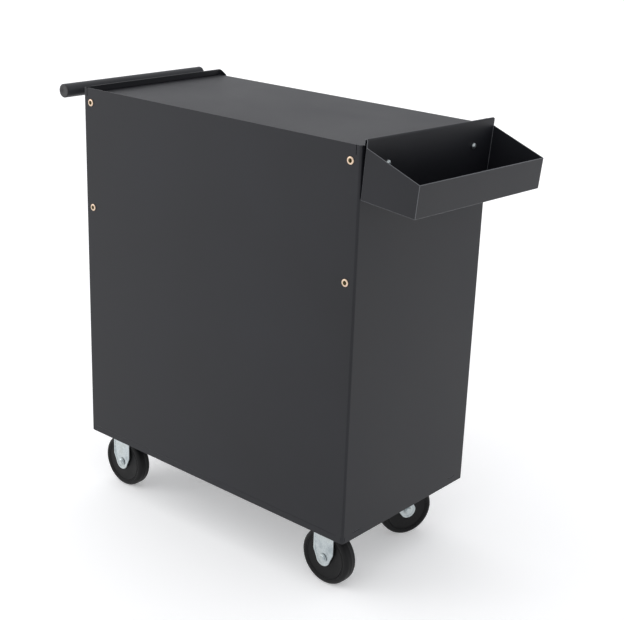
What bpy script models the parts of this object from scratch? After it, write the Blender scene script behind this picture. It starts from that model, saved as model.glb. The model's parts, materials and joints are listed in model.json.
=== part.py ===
"""Rolling tool chest: a folded steel cabinet with five drawers, a push handle, a side bin and four casters.

Metres, +Z up.  The drawers open towards -Y, the push handle is on +X and the bin hangs on -X.
The origin is on the floor, under the middle of the whole object's box.
"""

import math

import bmesh
import bpy
from mathutils import Matrix, Vector

# ---------------------------------------------------------------- driving dimensions
WIDTH = 0.615
DEPTH = 0.332
BODY_HEIGHT = 0.646
SHEET = 0.001
BEND = 0.0035
FIT = 0.0005
TOUCH = 0.0003
OVERRUN = 0.010

LIP = 0.010
HEM_SETBACK = 0.009
SLIT_DEPTH = 0.015
SLIT_WIDTH = 0.0012
STILE = 0.018
STILE_RETURN = 0.008
HEM_BITE = 0.00025
TOP_RAIL = 0.030
RAIL_RETURN = 0.009
FLANGE_CLEAR = 0.0013

BASE_RAISE = 0.012
TAB_LENGTH = 0.017
TAB_INSET = 0.0355

DRAWER_UNITS = (1, 1, 1, 2, 2)
DRAWER_GAP = 0.004
FRONT_GAP = 0.002
PAN_DEPTH = 0.010
BOX_HEADROOM = 0.012
BOX_UNDER = 0.003
DRAWER_BACK_CLEAR = 0.028

CHANNEL_HEIGHT = 0.030
CHANNEL_SHEET = 0.0012
MEMBER_THICK = 0.009
MEMBER_LIP = 0.003
SLIDE_CLEAR = 0.001
SLIDE_BACK_CLEAR = 0.034
SLIDE_OVERLAP = 0.040
SLIDE_RISE = 0.008
UPRIGHT_SETBACK = 0.030
UPRIGHT_BACK_CLEAR = 0.094

PULL_DROP = 0.009
PULL_HEIGHT = 0.020
PULL_REACH = 0.016
PULL_SHEET = 0.0018
PULL_BEND = 0.004
PULL_CURL = 0.011
PULL_INSET = 0.030

LOCK_INSET = 0.048
LOCK_PLUG_RADIUS = 0.0055
LOCK_SLEEVE_RADIUS = 0.009
LOCK_FLANGE_RADIUS = 0.012
LOCK_FLANGE_THICK = 0.002
LOCK_SLEEVE_CLEAR = 0.001
KEY_SLOT_WIDTH = 0.0014
KEY_SLOT_HEIGHT = 0.007
KEY_SLOT_DEPTH = 0.001
CAM_REACH = 0.014
CAM_THICK = 0.002
CAM_TIP_RADIUS = 0.003
CAM_PIN_RADIUS = 0.0015
PIN_PLAY = 0.0005
YOKE_WALL = 0.0016
LOCK_TURN = math.radians(60)
LOCK_BAR_CLEAR = 0.0015
LOCK_BAR_THICK = 0.002
LOCK_BAR_WIDTH = 0.010
LOCK_BAR_OFF_WALL = 0.003
FINGER_HEIGHT = 0.004
FINGER_CLEAR = 0.0013
NOTCH_CLEAR = 0.0006

HANDLE_OVERHANG = 0.0
HANDLE_RADIUS = 0.012
HANDLE_WALL = 0.0012
HANDLE_OUT = 0.0555
HANDLE_DROP = 0.0145
CAP_THICK = 0.0025
CAP_ROUND = 0.001
CAP_PLUG = 0.012
BRACKET_INSET = 0.085
BRACKET_WIDTH = 0.022
BRACKET_PLATE = 0.004
BRACKET_HEIGHT = 0.040
BRACKET_RING = 0.005

BIN_END_SETBACK = 0.002
BIN_DEPTH = 0.099
BIN_BACK = 0.090
BIN_SIDE = 0.078
BIN_FRONT = 0.050
BIN_SHEET = 0.0012
BIN_FLOOR_RISE = math.radians(-2.0)
BIN_FLARE = math.radians(1.2)
BIN_LEAN = math.radians(3.2)
BIN_DROOP = math.radians(1.5)
BIN_STANDOFF = 0.0015
BIN_BELOW_TOP = 0.0845
BIN_HOOK = 0.0045
BIN_HOOK_DROP = 0.010
BIN_HOOK_BEND = 0.0016
BIN_SCREW_INSET = 0.053
BIN_SCREW_RISE = 0.0495
SCREW_RADIUS = 0.0025
SCREW_PLAY = 0.0009
SCREW_HEAD_RADIUS = 0.005
SCREW_CROWN_RADIUS = 0.0035
SCREW_HEAD_HEIGHT = 0.0035
SCREW_LENGTH = 0.018

NUT_INSET = 0.0185
NUT_UPPER_DROP = 0.0245
NUT_LOWER_DROP = 0.210
NUT_FLANGE_RADIUS = 0.0063
NUT_FLANGE_THICK = 0.0012
NUT_BODY_RADIUS = 0.0044
NUT_BORE_RADIUS = 0.0031
NUT_LENGTH = 0.011

CASTER_PLATE = 0.0025
CASTER_PLATE_LENGTH = 0.084
CASTER_PLATE_WIDTH = 0.060
CASTER_PLATE_CORNER = 0.006
WHEEL_RADIUS = 0.0495
WHEEL_WIDTH = 0.026
TREAD_ROUND = 0.007
HUB_RECESS = 0.0015
RIM_WIDTH = 0.0135
HUB_BOSS = 0.011
AXLE_RADIUS = 0.004
AXLE_HEAD_RADIUS = 0.0062
AXLE_HEAD = 0.0035
WHEEL_SIDE_GAP = 0.0012
WHEEL_HEADROOM = 0.0055
FORK_SHEET = 0.0022
FORK_TOP = 0.042
FORK_TIP = 0.0145
FORK_SHOULDER = 0.012
RIGID_INSET_X = 0.057
RIGID_INSET_Y = 0.038
SWIVEL_INSET_X = 0.084
SWIVEL_INSET_Y = 0.106
SWIVEL_TRAIL = 0.036
SWIVEL_RACE = 0.008
SWIVEL_RACE_RADIUS = 0.025
SWIVEL_RACE_BULGE = 0.0045
SADDLE_INSET = 0.0025
SADDLE_CORNER = 0.004
SADDLE_DROP = 0.006
SWIVEL_REST = {"left": math.radians(245.7), "right": math.radians(285)}

# ---------------------------------------------------------------- derived sizes
CASTER_HEIGHT = 2 * WHEEL_RADIUS + WHEEL_HEADROOM + FORK_SHEET + TOUCH + SWIVEL_RACE + CASTER_PLATE
BODY_BOTTOM = CASTER_HEIGHT - BASE_RAISE
BODY_TOP = BODY_BOTTOM + BODY_HEIGHT
WORKTOP = BODY_TOP - LIP
BASE_TOP = CASTER_HEIGHT + TOUCH + SHEET
FRONT = -DEPTH / 2
BACK = DEPTH / 2
SIDE = WIDTH / 2
OPEN_HALF = SIDE - STILE
OPEN_TOP = WORKTOP - TOP_RAIL
WORKTOP_FLANGE = NUT_UPPER_DROP - LIP - NUT_BODY_RADIUS - FLANGE_CLEAR
MEMBER_OUT = OPEN_HALF - SLIDE_CLEAR
BOX_HALF = MEMBER_OUT - MEMBER_THICK - TOUCH
BOX_NEAR = FRONT + PAN_DEPTH + TOUCH
BOX_FAR = BACK - SHEET - DRAWER_BACK_CLEAR
LOCK_BAR_NEAR = FRONT + PAN_DEPTH + LOCK_BAR_CLEAR
LOCK_BAR_FAR = LOCK_BAR_NEAR + LOCK_BAR_THICK
CAM_NEAR = LOCK_BAR_FAR + 2 * TOUCH
CAM_FAR = CAM_NEAR + CAM_THICK
SLIDE_NEAR = CAM_FAR + SLIDE_CLEAR
SLIDE_FAR = BACK - SHEET - SLIDE_BACK_CLEAR
DRAWER_TRAVEL = SLIDE_FAR - SLIDE_NEAR - SLIDE_OVERLAP
FINGER_REACH = SLIDE_CLEAR + MEMBER_THICK - CHANNEL_SHEET - FINGER_CLEAR
NUT_DROPS = (NUT_UPPER_DROP, NUT_LOWER_DROP)
HANDLE_LENGTH = DEPTH + 2 * HANDLE_OVERHANG
BIN_LENGTH = DEPTH - 2 * BIN_END_SETBACK
MEMBER_HEIGHT = CHANNEL_HEIGHT - 2 * CHANNEL_SHEET - 2 * FIT
SCREW_HOLE_RADIUS = SCREW_RADIUS + SCREW_PLAY

CHARCOAL = ("powder_coat", (0.034, 0.035, 0.038), 0.42, 0.0)
DARK_STEEL = ("pull_coat", (0.020, 0.021, 0.023), 0.35, 0.0)
GALVANISED = ("galvanised_steel", (0.52, 0.54, 0.56), 0.38, 0.9)
ZINC = ("bright_zinc", (0.66, 0.70, 0.74), 0.28, 0.95)
YELLOW_ZINC = ("yellow_zinc", (0.62, 0.44, 0.20), 0.32, 0.9)
RUBBER = ("black_rubber", (0.012, 0.012, 0.013), 0.62, 0.0)
PLASTIC = ("black_plastic", (0.030, 0.030, 0.032), 0.45, 0.0)


# ---------------------------------------------------------------- shape helpers
def arc(centre, radius, start, end, steps):
    """Points on an arc, both ends included."""
    points = []
    for i in range(steps + 1):
        angle = start + (end - start) * i / steps
        points.append((centre[0] + radius * math.cos(angle), centre[1] + radius * math.sin(angle)))
    return points


def folded(path, thickness, bend=BEND, steps=3):
    """The closed outline of a strip of sheet that follows a path, with round bends."""
    points = [Vector(p) for p in path]
    centre_line = []
    for i, point in enumerate(points):
        if i == 0 or i == len(points) - 1:
            near = points[1] if i == 0 else points[-2]
            along = (near - point) if i == 0 else (point - near)
            along.normalize()
            centre_line.append((point, Vector((-along.y, along.x))))
            continue
        before = (point - points[i - 1]).normalized()
        after = (points[i + 1] - point).normalized()
        turn = before.angle_signed(after) * -1
        reach = bend * math.tan(abs(turn) / 2)
        start = point - before * reach
        normal = Vector((-before.y, before.x))
        centre = start + normal * math.copysign(bend, turn)
        for k in range(steps + 1):
            spin = Matrix.Rotation(turn * k / steps, 2)
            centre_line.append((centre + spin @ (start - centre), spin @ normal))
    left = [p + n * thickness / 2 for p, n in centre_line]
    right = [p - n * thickness / 2 for p, n in centre_line]
    return [tuple(p) for p in left + right[::-1]]


def to_object(bm):
    """An unnamed object holding this shape, with its faces pointing out."""
    bmesh.ops.recalc_face_normals(bm, faces=bm.faces)
    mesh = bpy.data.meshes.new("shape")
    bm.to_mesh(mesh)
    bm.free()
    obj = bpy.data.objects.new("shape", mesh)
    bpy.context.scene.collection.objects.link(obj)
    return obj


def prism(outline, axis, low, high):
    """An outline in the plane across an axis, extruded along that axis."""
    place = {
        "X": lambda u, v, w: (w, u, v),
        "Y": lambda u, v, w: (u, w, v),
        "Z": lambda u, v, w: (u, v, w),
    }[axis]
    bm = bmesh.new()
    rings = [[bm.verts.new(place(u, v, w)) for u, v in outline] for w in (low, high)]
    bm.faces.new(rings[0])
    bm.faces.new(rings[1][::-1])
    count = len(outline)
    for i in range(count):
        j = (i + 1) % count
        bm.faces.new((rings[0][i], rings[0][j], rings[1][j], rings[1][i]))
    return to_object(bm)


def block(low, high):
    """A plain box between two corners."""
    (x0, y0, z0), (x1, y1, z1) = low, high
    return prism([(x0, y0), (x1, y0), (x1, y1), (x0, y1)], "Z", z0, z1)


def span(side, near, far):
    """Two distances out on one side, as x coordinates in rising order."""
    return sorted((side * near, side * far))


def rounded_rectangle(half_u, half_v, radius, steps=3):
    """A rectangle about the origin with round corners."""
    points = []
    for k, (su, sv) in enumerate(((1, 1), (-1, 1), (-1, -1), (1, -1))):
        centre = (su * (half_u - radius), sv * (half_v - radius))
        points += arc(centre, radius, k * math.pi / 2, (k + 1) * math.pi / 2, steps)
    return points


def turned(profile, axis, centre, segments, closed=False):
    """A profile of (radius, height) points turned about an axis; closed joins its ends, for a bored piece."""
    place = {
        "X": lambda c, s, h: (h, c, s),
        "Y": lambda c, s, h: (c, h, s),
        "Z": lambda c, s, h: (c, s, h),
    }[axis]
    bm = bmesh.new()
    rings = []
    for radius, height in profile:
        count = segments if radius > 0 else 1
        ring = []
        for i in range(count):
            angle = 2 * math.pi * (i + 0.5) / segments
            spot = place(radius * math.cos(angle), radius * math.sin(angle), height)
            ring.append(bm.verts.new(Vector(spot) + Vector(centre)))
        rings.append(ring)
    pairs = list(zip(rings, rings[1:]))
    if closed:
        pairs.append((rings[-1], rings[0]))
    for lower, upper in pairs:
        for i in range(segments):
            j = (i + 1) % segments
            corners = []
            for ring, index in ((lower, i), (lower, j), (upper, j), (upper, i)):
                vert = ring[index % len(ring)]
                if vert not in corners:
                    corners.append(vert)
            bm.faces.new(corners)
    return to_object(bm)


def rod(axis, centre, radius, length, segments=20):
    """A plain cylinder that starts at centre and runs along an axis."""
    profile = [(0, 0), (radius, 0), (radius, length), (0, length)]
    return turned(profile, axis, centre, segments)


def combine(base, tools, operation):
    """Joins the tools to the base, or cuts them from it, and removes them."""
    for tool in tools:
        modifier = base.modifiers.new("combine", "BOOLEAN")
        modifier.object = tool
        modifier.operation = operation
    bpy.context.view_layer.update()
    graph = bpy.context.evaluated_depsgraph_get()
    mesh = bpy.data.meshes.new_from_object(base.evaluated_get(graph))
    base.modifiers.clear()
    base.data = mesh
    for tool in tools:
        bpy.data.objects.remove(tool)
    return base


def join(base, *tools):
    return combine(base, tools, "UNION")


def cut(base, *tools):
    return combine(base, tools, "DIFFERENCE")


def material_of(piece, finish):
    """The piece's own material, with the colour, roughness and metallic value of its finish."""
    coat, colour, roughness, metallic = finish
    material = bpy.data.materials.new(f"{piece}_{coat}")
    material.use_nodes = True
    shader = material.node_tree.nodes["Principled BSDF"]
    shader.inputs["Base Color"].default_value = (*colour, 1)
    shader.inputs["Roughness"].default_value = roughness
    shader.inputs["Metallic"].default_value = metallic
    return material


def empty(name, parent, location, turn=0.0):
    """A parent for pieces that move together, on their joint's axis."""
    obj = bpy.data.objects.new(name, None)
    bpy.context.scene.collection.objects.link(obj)
    obj.parent = parent
    obj.location = location
    obj.rotation_euler.z = turn
    return obj


def node(name, obj, finish, parent):
    """Names a finished piece, gives it its own material and hangs it on its parent."""
    obj.name = name
    obj.data.name = name
    obj.data.materials.clear()
    obj.data.materials.append(material_of(name, finish))
    obj.data.shade_smooth()
    obj.data.set_sharp_from_angle(angle=math.radians(32))
    obj.parent = parent
    return obj


# ---------------------------------------------------------------- cabinet
def hem(low, high):
    """A folded-over strip inside the top edge of a wall, let a little way into that wall."""
    return block((*low, BODY_TOP - LIP + FIT), (*high, BODY_TOP))


def stile_slope(side, above):
    """What is cut from a stile so that its top edge slopes down to the worktop."""
    slope = [(side * SIDE, BODY_TOP), (side * OPEN_HALF, WORKTOP)]
    slope += [(side * (OPEN_HALF - OVERRUN), WORKTOP), (side * (OPEN_HALF - OVERRUN), above)]
    slope.append((side * SIDE, above))
    return prism(slope, "Y", FRONT - OVERRUN, FRONT + STILE_RETURN)


def tab_places():
    """Where along Y the floor's tabs cross each side wall."""
    return (TAB_INSET - DEPTH / 2, DEPTH / 2 - TAB_INSET)


def cabinet_shell(parent):
    """One sheet wrapped round the back and both sides, folded into narrow stiles at the front."""
    x = SIDE - SHEET / 2
    y = DEPTH / 2 - SHEET / 2
    stile = OPEN_HALF + SHEET / 2
    path = [(-stile, -y + STILE_RETURN), (-stile, -y), (-x, -y), (-x, y)]
    path += [(x, y), (x, -y), (stile, -y), (stile, -y + STILE_RETURN)]
    shell = prism(folded(path, SHEET), "Z", BODY_BOTTOM, BODY_TOP)

    inner_x = SIDE - SHEET
    inner_y = BACK - SHEET
    hems = [hem((HEM_SETBACK - SIDE, inner_y - SHEET), (SIDE - HEM_SETBACK, inner_y + HEM_BITE))]
    for side in (-1, 1):
        xs = span(side, inner_x - SHEET, inner_x + HEM_BITE)
        hems.append(hem((xs[0], FRONT + HEM_SETBACK), (xs[1], BACK - HEM_SETBACK)))
    join(shell, *hems)

    above = BODY_TOP + OVERRUN
    behind_back = BACK - OVERRUN
    cuts = []
    for side in (-1, 1):
        cuts.append(stile_slope(side, above))
        xs = span(side, OPEN_HALF - OVERRUN, SIDE - BEND)
        low = (xs[0], FRONT + SHEET + TOUCH, WORKTOP - SHEET - FIT)
        cuts.append(block(low, (xs[1], FRONT + STILE_RETURN + OVERRUN, above)))
        xs = span(side, SIDE - HEM_SETBACK - SLIT_WIDTH / 2, SIDE - HEM_SETBACK + SLIT_WIDTH / 2)
        cuts.append(block((xs[0], behind_back, BODY_TOP - SLIT_DEPTH), (xs[1], BACK + OVERRUN, above)))
        for tab in tab_places():
            reach = TAB_LENGTH / 2 + TOUCH
            xs = span(side, SIDE - OVERRUN, SIDE + OVERRUN)
            low = (xs[0], tab - reach, BASE_TOP - SHEET - TOUCH)
            cuts.append(block(low, (xs[1], tab + reach, BASE_TOP + TOUCH)))
        for drop in NUT_DROPS:
            spot = (side * (SIDE - NUT_INSET), behind_back, BODY_TOP - drop)
            cuts.append(rod("Y", spot, NUT_BODY_RADIUS + TOUCH, 2 * OVERRUN))
    for screw in bin_screw_places():
        spot = (-SIDE - OVERRUN, screw[1], screw[2])
        cuts.append(rod("X", spot, SCREW_HOLE_RADIUS, 2 * OVERRUN, 16))
    cut(shell, *cuts)
    return node("cabinet_shell", shell, CHARCOAL, parent)


def rail_and_panel(panel, path, half_width):
    """A flat panel with its front edge folded into a rail between the stiles."""
    rail = prism(folded(path, SHEET), "X", -half_width, half_width)
    return join(panel, rail)


def worktop_outline(flat_x, flat_y, wall_x, rail_half):
    """The flat of the worktop: it widens over the stiles and starts behind the bend of the front rail."""
    near = FRONT + SHEET + FIT
    step = FRONT + HEM_SETBACK - FIT
    bend = FRONT + SHEET / 2 + BEND
    relief = rail_half + FIT
    half = [(relief, bend), (relief, near), (wall_x - BEND, near), (wall_x, near + BEND)]
    half += [(wall_x, step), (flat_x, step), (flat_x, flat_y)]
    return half + [(-x, y) for x, y in reversed(half)]


def worktop(parent):
    """The lowered top: flanges fold down along the walls, and the front edge folds into the top rail."""
    wall_x = SIDE - SHEET - FIT
    wall_y = BACK - SHEET - FIT
    flat_x = wall_x - SHEET - BEND
    flat_y = wall_y - SHEET - BEND
    rail_half = OPEN_HALF - FIT
    panel = prism(worktop_outline(flat_x, flat_y, wall_x, rail_half), "Z", WORKTOP - SHEET, WORKTOP)

    z = WORKTOP - SHEET / 2
    foot = WORKTOP - WORKTOP_FLANGE
    x = wall_x - SHEET / 2
    y = wall_y - SHEET / 2
    behind_stile = FRONT + STILE_RETURN + SHEET + FIT
    back = folded([(flat_y - OVERRUN, z), (y, z), (y, foot)], SHEET)
    flanges = [prism(back, "X", FIT - flat_x, flat_x - FIT)]
    for side in (-1, 1):
        outline = folded([(side * (flat_x - OVERRUN), z), (side * x, z), (side * x, foot)], SHEET)
        flanges.append(prism(outline, "Y", behind_stile, flat_y - FIT))
    join(panel, *flanges)

    y = FRONT + SHEET / 2
    path = [(y + BEND + OVERRUN, z), (y, z)]
    path += [(y, OPEN_TOP + SHEET / 2), (y + RAIL_RETURN, OPEN_TOP + SHEET / 2)]
    top = rail_and_panel(panel, path, rail_half)
    spot = (SIDE - LOCK_INSET, FRONT - OVERRUN, lock_height())
    cut(top, rod("Y", spot, LOCK_SLEEVE_RADIUS + TOUCH, 2 * OVERRUN, 24))
    return node("worktop", top, CHARCOAL, parent)


def base_panel(parent):
    """The floor of the cabinet, tabbed into the side walls, with a front rail down to the lower edge."""
    half_x = SIDE - SHEET - FIT
    behind = FRONT + STILE_RETURN + SHEET + FIT
    low = BASE_TOP - SHEET
    corner = BEND + FIT
    wall = BACK - SHEET
    outline = [(-half_x, behind), (half_x, behind), (half_x, wall - corner), (half_x - corner, wall - FIT)]
    outline += [(corner - half_x, wall - FIT), (-half_x, wall - corner)]
    panel = prism(outline, "Z", low, BASE_TOP)
    tabs = []
    for side in (-1, 1):
        xs = span(side, half_x - OVERRUN, SIDE - TOUCH)
        for tab in tab_places():
            tabs.append(block((xs[0], tab - TAB_LENGTH / 2, low), (xs[1], tab + TAB_LENGTH / 2, BASE_TOP)))
    join(panel, *tabs)
    z = BASE_TOP - SHEET / 2
    y = FRONT + SHEET / 2
    path = [(behind + OVERRUN, z), (y, z), (y, BODY_BOTTOM)]
    base = rail_and_panel(panel, path, OPEN_HALF - FIT)
    return node("base_panel", base, CHARCOAL, parent)


# ---------------------------------------------------------------- drawers
def drawer_layout():
    """The (bottom, height) of each drawer front, from the top down."""
    opening = OPEN_TOP - BASE_TOP
    spare = opening - DRAWER_GAP * (len(DRAWER_UNITS) + 1)
    hidden_gaps = sum(units - 1 for units in DRAWER_UNITS) * DRAWER_GAP
    unit = (spare - hidden_gaps) / sum(DRAWER_UNITS)
    layout = []
    top = OPEN_TOP - DRAWER_GAP
    for units in DRAWER_UNITS:
        height = unit * units + DRAWER_GAP * (units - 1)
        layout.append((top - height, height))
        top -= height + DRAWER_GAP
    return layout


def channel_bottom(drawer_bottom):
    return drawer_bottom + BOX_UNDER + SLIDE_RISE


def slide_rack(side, parent):
    """The fixed slide channels of one side, joined by two uprights that stand off the wall."""
    web = span(side, OPEN_HALF, OPEN_HALF + CHANNEL_SHEET)
    lips = span(side, MEMBER_OUT - MEMBER_THICK + TOUCH, OPEN_HALF + CHANNEL_SHEET)
    pieces = []
    for bottom, _ in drawer_layout():
        low = channel_bottom(bottom)
        high = low + CHANNEL_HEIGHT
        pieces.append(block((web[0], SLIDE_NEAR, low), (web[1], SLIDE_FAR, high)))
        pieces.append(block((lips[0], SLIDE_NEAR, low), (lips[1], SLIDE_FAR, low + CHANNEL_SHEET)))
        pieces.append(block((lips[0], SLIDE_NEAR, high - CHANNEL_SHEET), (lips[1], SLIDE_FAR, high)))
    gap = span(side, OPEN_HALF + CHANNEL_SHEET / 2, SIDE - SHEET - TOUCH)
    lowest = channel_bottom(drawer_layout()[-1][0])
    highest = channel_bottom(drawer_layout()[0][0]) + CHANNEL_HEIGHT
    uprights = []
    for y in (FRONT + UPRIGHT_SETBACK, BACK - SHEET - UPRIGHT_BACK_CLEAR):
        uprights.append(block((gap[0], y, lowest), (gap[1], y + 2 * CHANNEL_SHEET, highest)))
    rack = join(uprights[0], *pieces, uprights[1])
    name = "slide_rack_right" if side > 0 else "slide_rack_left"
    return node(name, rack, GALVANISED, parent)


def slide_member(side, low):
    """The drawer's own slide member: a C of folded steel whose open side faces the fixed channel."""
    inner = side * (MEMBER_OUT - MEMBER_THICK)
    outer = side * MEMBER_OUT
    web = inner + side * CHANNEL_SHEET
    high = low + MEMBER_HEIGHT
    lip = outer - side * CHANNEL_SHEET
    outline = [(inner, low), (outer, low), (outer, low + MEMBER_LIP), (lip, low + MEMBER_LIP)]
    outline += [(lip, low + CHANNEL_SHEET), (web, low + CHANNEL_SHEET)]
    mirrored = [(u, low + high - v) for u, v in reversed(outline)]
    return prism(outline + mirrored, "Y", SLIDE_NEAR, SLIDE_FAR)


def finger_notch(low):
    """The notch in a right-hand member that the lock bar's finger rises into when the drawer is full out."""
    near = LOCK_BAR_NEAR + DRAWER_TRAVEL - NOTCH_CLEAR
    far = LOCK_BAR_FAR + DRAWER_TRAVEL + NOTCH_CLEAR
    start = (OPEN_HALF - FINGER_REACH - NOTCH_CLEAR, near, low - OVERRUN)
    return block(start, (OPEN_HALF, far, low + MEMBER_LIP + NOTCH_CLEAR))


def drawer(number, bottom, height, parent):
    """One drawer: folded front pan, finger pull, open box and its two slide members."""
    name = f"drawer_{number}"
    slide = empty(f"{name}_slide_axis", parent, (0, 0, 0))
    top = bottom + height
    half = OPEN_HALF - FRONT_GAP

    pan = block((-half, FRONT, bottom), (half, FRONT + PAN_DEPTH, top))
    inner = half - SHEET
    behind = FRONT + PAN_DEPTH + OVERRUN
    hollow = block((-inner, FRONT + SHEET, bottom + SHEET), (inner, behind, top - SHEET))
    node(f"{name}_front", cut(pan, hollow), CHARCOAL, slide)

    z = top - PULL_DROP
    y = FRONT - TOUCH
    path = [(y - PULL_SHEET / 2, z - PULL_HEIGHT), (y - PULL_SHEET / 2, z), (y - PULL_REACH, z)]
    path.append((y - PULL_REACH, z - PULL_CURL))
    pull = prism(folded(path, PULL_SHEET, PULL_BEND), "X", PULL_INSET - half, half - PULL_INSET)
    node(f"{name}_pull", pull, DARK_STEEL, slide)

    low = bottom + BOX_UNDER
    high = top - BOX_HEADROOM
    box = block((-BOX_HALF, BOX_NEAR, low), (BOX_HALF, BOX_FAR, high))
    inner = BOX_HALF - SHEET
    room = block((-inner, BOX_NEAR + SHEET, low + SHEET), (inner, BOX_FAR - SHEET, high + OVERRUN))
    node(f"{name}_box", cut(box, room), GALVANISED, slide)

    member_low = channel_bottom(bottom) + CHANNEL_SHEET + FIT
    node(f"{name}_slide_left", slide_member(-1, member_low), GALVANISED, slide)
    right = cut(slide_member(1, member_low), finger_notch(member_low))
    node(f"{name}_slide_right", right, GALVANISED, slide)


# ---------------------------------------------------------------- lock
def lock_height():
    return (WORKTOP + OPEN_TOP) / 2


def pin_place():
    """The cam pin's place from the lock's axis, as (x, z), with the lock shut."""
    return (CAM_REACH * math.cos(-LOCK_TURN / 2), CAM_REACH * math.sin(-LOCK_TURN / 2))


def lock_cylinder(parent, x, z):
    """The keyed plug with its cam and cam pin."""
    axis = empty("lock_axis", parent, (x, 0, z))
    face = FRONT - LOCK_FLANGE_THICK
    plug = rod("Y", (0, face, 0), LOCK_PLUG_RADIUS, CAM_FAR - face)
    tip = pin_place()
    start = -LOCK_TURN / 2
    outline = arc((0, 0), LOCK_PLUG_RADIUS - FIT, start + math.pi / 2, start + 3 * math.pi / 2, 6)
    outline += arc(tip, CAM_TIP_RADIUS, start - math.pi / 2, start + math.pi / 2, 6)
    arm = prism(outline, "Y", CAM_NEAR, CAM_FAR)
    pin_front = LOCK_BAR_NEAR - TOUCH
    pin = rod("Y", (tip[0], pin_front, tip[1]), CAM_PIN_RADIUS, CAM_NEAR + CAM_THICK / 2 - pin_front, 12)
    join(plug, arm, pin)
    half_width, half_height = KEY_SLOT_WIDTH / 2, KEY_SLOT_HEIGHT / 2
    low = (-half_width, face - OVERRUN, -half_height)
    key = block(low, (half_width, face + KEY_SLOT_DEPTH, half_height))
    node("lock_cylinder", cut(plug, key), ZINC, axis)


def lock_bar(parent, x, z):
    """The strip that the cam pin lifts, with a finger in front of each right-hand slide member."""
    axis = empty("lock_bar_axis", parent, (0, 0, 0))
    outer = SIDE - SHEET - LOCK_BAR_OFF_WALL
    inner = outer - LOCK_BAR_WIDTH
    lowest = channel_bottom(drawer_layout()[-1][0]) - FINGER_HEIGHT - FIT
    tip = pin_place()
    pin_z = z + tip[1]
    slot_half = CAM_PIN_RADIUS + PIN_PLAY
    near = x + tip[0] - slot_half
    far = x + CAM_REACH + slot_half
    top = pin_z + slot_half + YOKE_WALL
    bar = block((inner, LOCK_BAR_NEAR, lowest), (outer, LOCK_BAR_FAR, top))
    low = (near - YOKE_WALL, LOCK_BAR_NEAR, pin_z - slot_half - YOKE_WALL)
    yoke = block(low, (max(outer, far + YOKE_WALL), LOCK_BAR_FAR, top))
    fingers = []
    for bottom, _ in drawer_layout():
        high = channel_bottom(bottom) + CHANNEL_SHEET + FIT - SLIDE_CLEAR
        low = (OPEN_HALF - FINGER_REACH, LOCK_BAR_NEAR, high - FINGER_HEIGHT)
        fingers.append(block(low, (inner + SHEET, LOCK_BAR_FAR, high)))
    join(bar, yoke, *fingers)
    outline = rounded_rectangle((far - near) / 2, slot_half, CAM_PIN_RADIUS)
    outline = [(u + (near + far) / 2, v + pin_z) for u, v in outline]
    cut(bar, prism(outline, "Y", LOCK_BAR_NEAR - OVERRUN, LOCK_BAR_FAR + OVERRUN))
    node("lock_bar", bar, GALVANISED, axis)


def lock(parent):
    """A cylinder lock in the top rail, whose cam lifts the bar that holds every drawer shut."""
    x = SIDE - LOCK_INSET
    z = lock_height()
    bore = LOCK_PLUG_RADIUS + TOUCH
    face = FRONT - LOCK_FLANGE_THICK
    end = LOCK_BAR_NEAR - LOCK_SLEEVE_CLEAR
    profile = [(bore, face), (LOCK_FLANGE_RADIUS, face), (LOCK_FLANGE_RADIUS, FRONT - TOUCH)]
    profile += [(LOCK_SLEEVE_RADIUS, FRONT - TOUCH), (LOCK_SLEEVE_RADIUS, end), (bore, end)]
    node("lock_housing", turned(profile, "Y", (x, 0, z), 24, closed=True), ZINC, parent)
    lock_cylinder(parent, x, z)
    lock_bar(parent, x, z)


# ---------------------------------------------------------------- push handle
def push_handle(parent):
    """A steel tube across the handle side, closed by plastic caps and carried in two cradle brackets."""
    x = SIDE + HANDLE_OUT
    z = BODY_TOP - HANDLE_DROP
    end = HANDLE_LENGTH / 2
    bore = HANDLE_RADIUS - HANDLE_WALL
    tube_end = end - CAP_THICK - TOUCH
    profile = [(bore, -tube_end), (HANDLE_RADIUS, -tube_end), (HANDLE_RADIUS, tube_end), (bore, tube_end)]
    node("handle_tube", turned(profile, "Y", (x, 0, z), 28, closed=True), CHARCOAL, parent)

    plug = bore - TOUCH
    for side, word in ((-1, "front"), (1, "back")):
        profile = [(0, side * (tube_end - CAP_PLUG)), (plug, side * (tube_end - CAP_PLUG))]
        profile += [(plug, side * (tube_end + TOUCH)), (HANDLE_RADIUS, side * (tube_end + TOUCH))]
        profile += [(HANDLE_RADIUS, side * (end - CAP_ROUND)), (HANDLE_RADIUS - CAP_ROUND, side * end)]
        profile.append((0, side * end))
        node(f"handle_cap_{word}", turned(profile, "Y", (x, 0, z), 28), PLASTIC, parent)

    ring = HANDLE_RADIUS + TOUCH + BRACKET_RING
    wall = SIDE + TOUCH
    foot = wall + BRACKET_PLATE
    outline = [(wall, z - BRACKET_HEIGHT), (foot, z - BRACKET_HEIGHT), (foot, z - ring)]
    outline += arc((x, z), ring, math.radians(-90), 0, 7)
    outline += [(foot, z), (foot, z + BRACKET_PLATE), (wall, z + BRACKET_PLATE)]
    for side, word in ((-1, "front"), (1, "back")):
        middle = side * (end - BRACKET_INSET)
        low = middle - BRACKET_WIDTH / 2
        bracket = prism(outline, "Y", low, low + BRACKET_WIDTH)
        cradle = rod("Y", (x, low - OVERRUN, z), HANDLE_RADIUS + TOUCH, BRACKET_WIDTH + 2 * OVERRUN, 28)
        cut(bracket, cradle)
        node(f"handle_bracket_{word}", bracket, CHARCOAL, parent)


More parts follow.
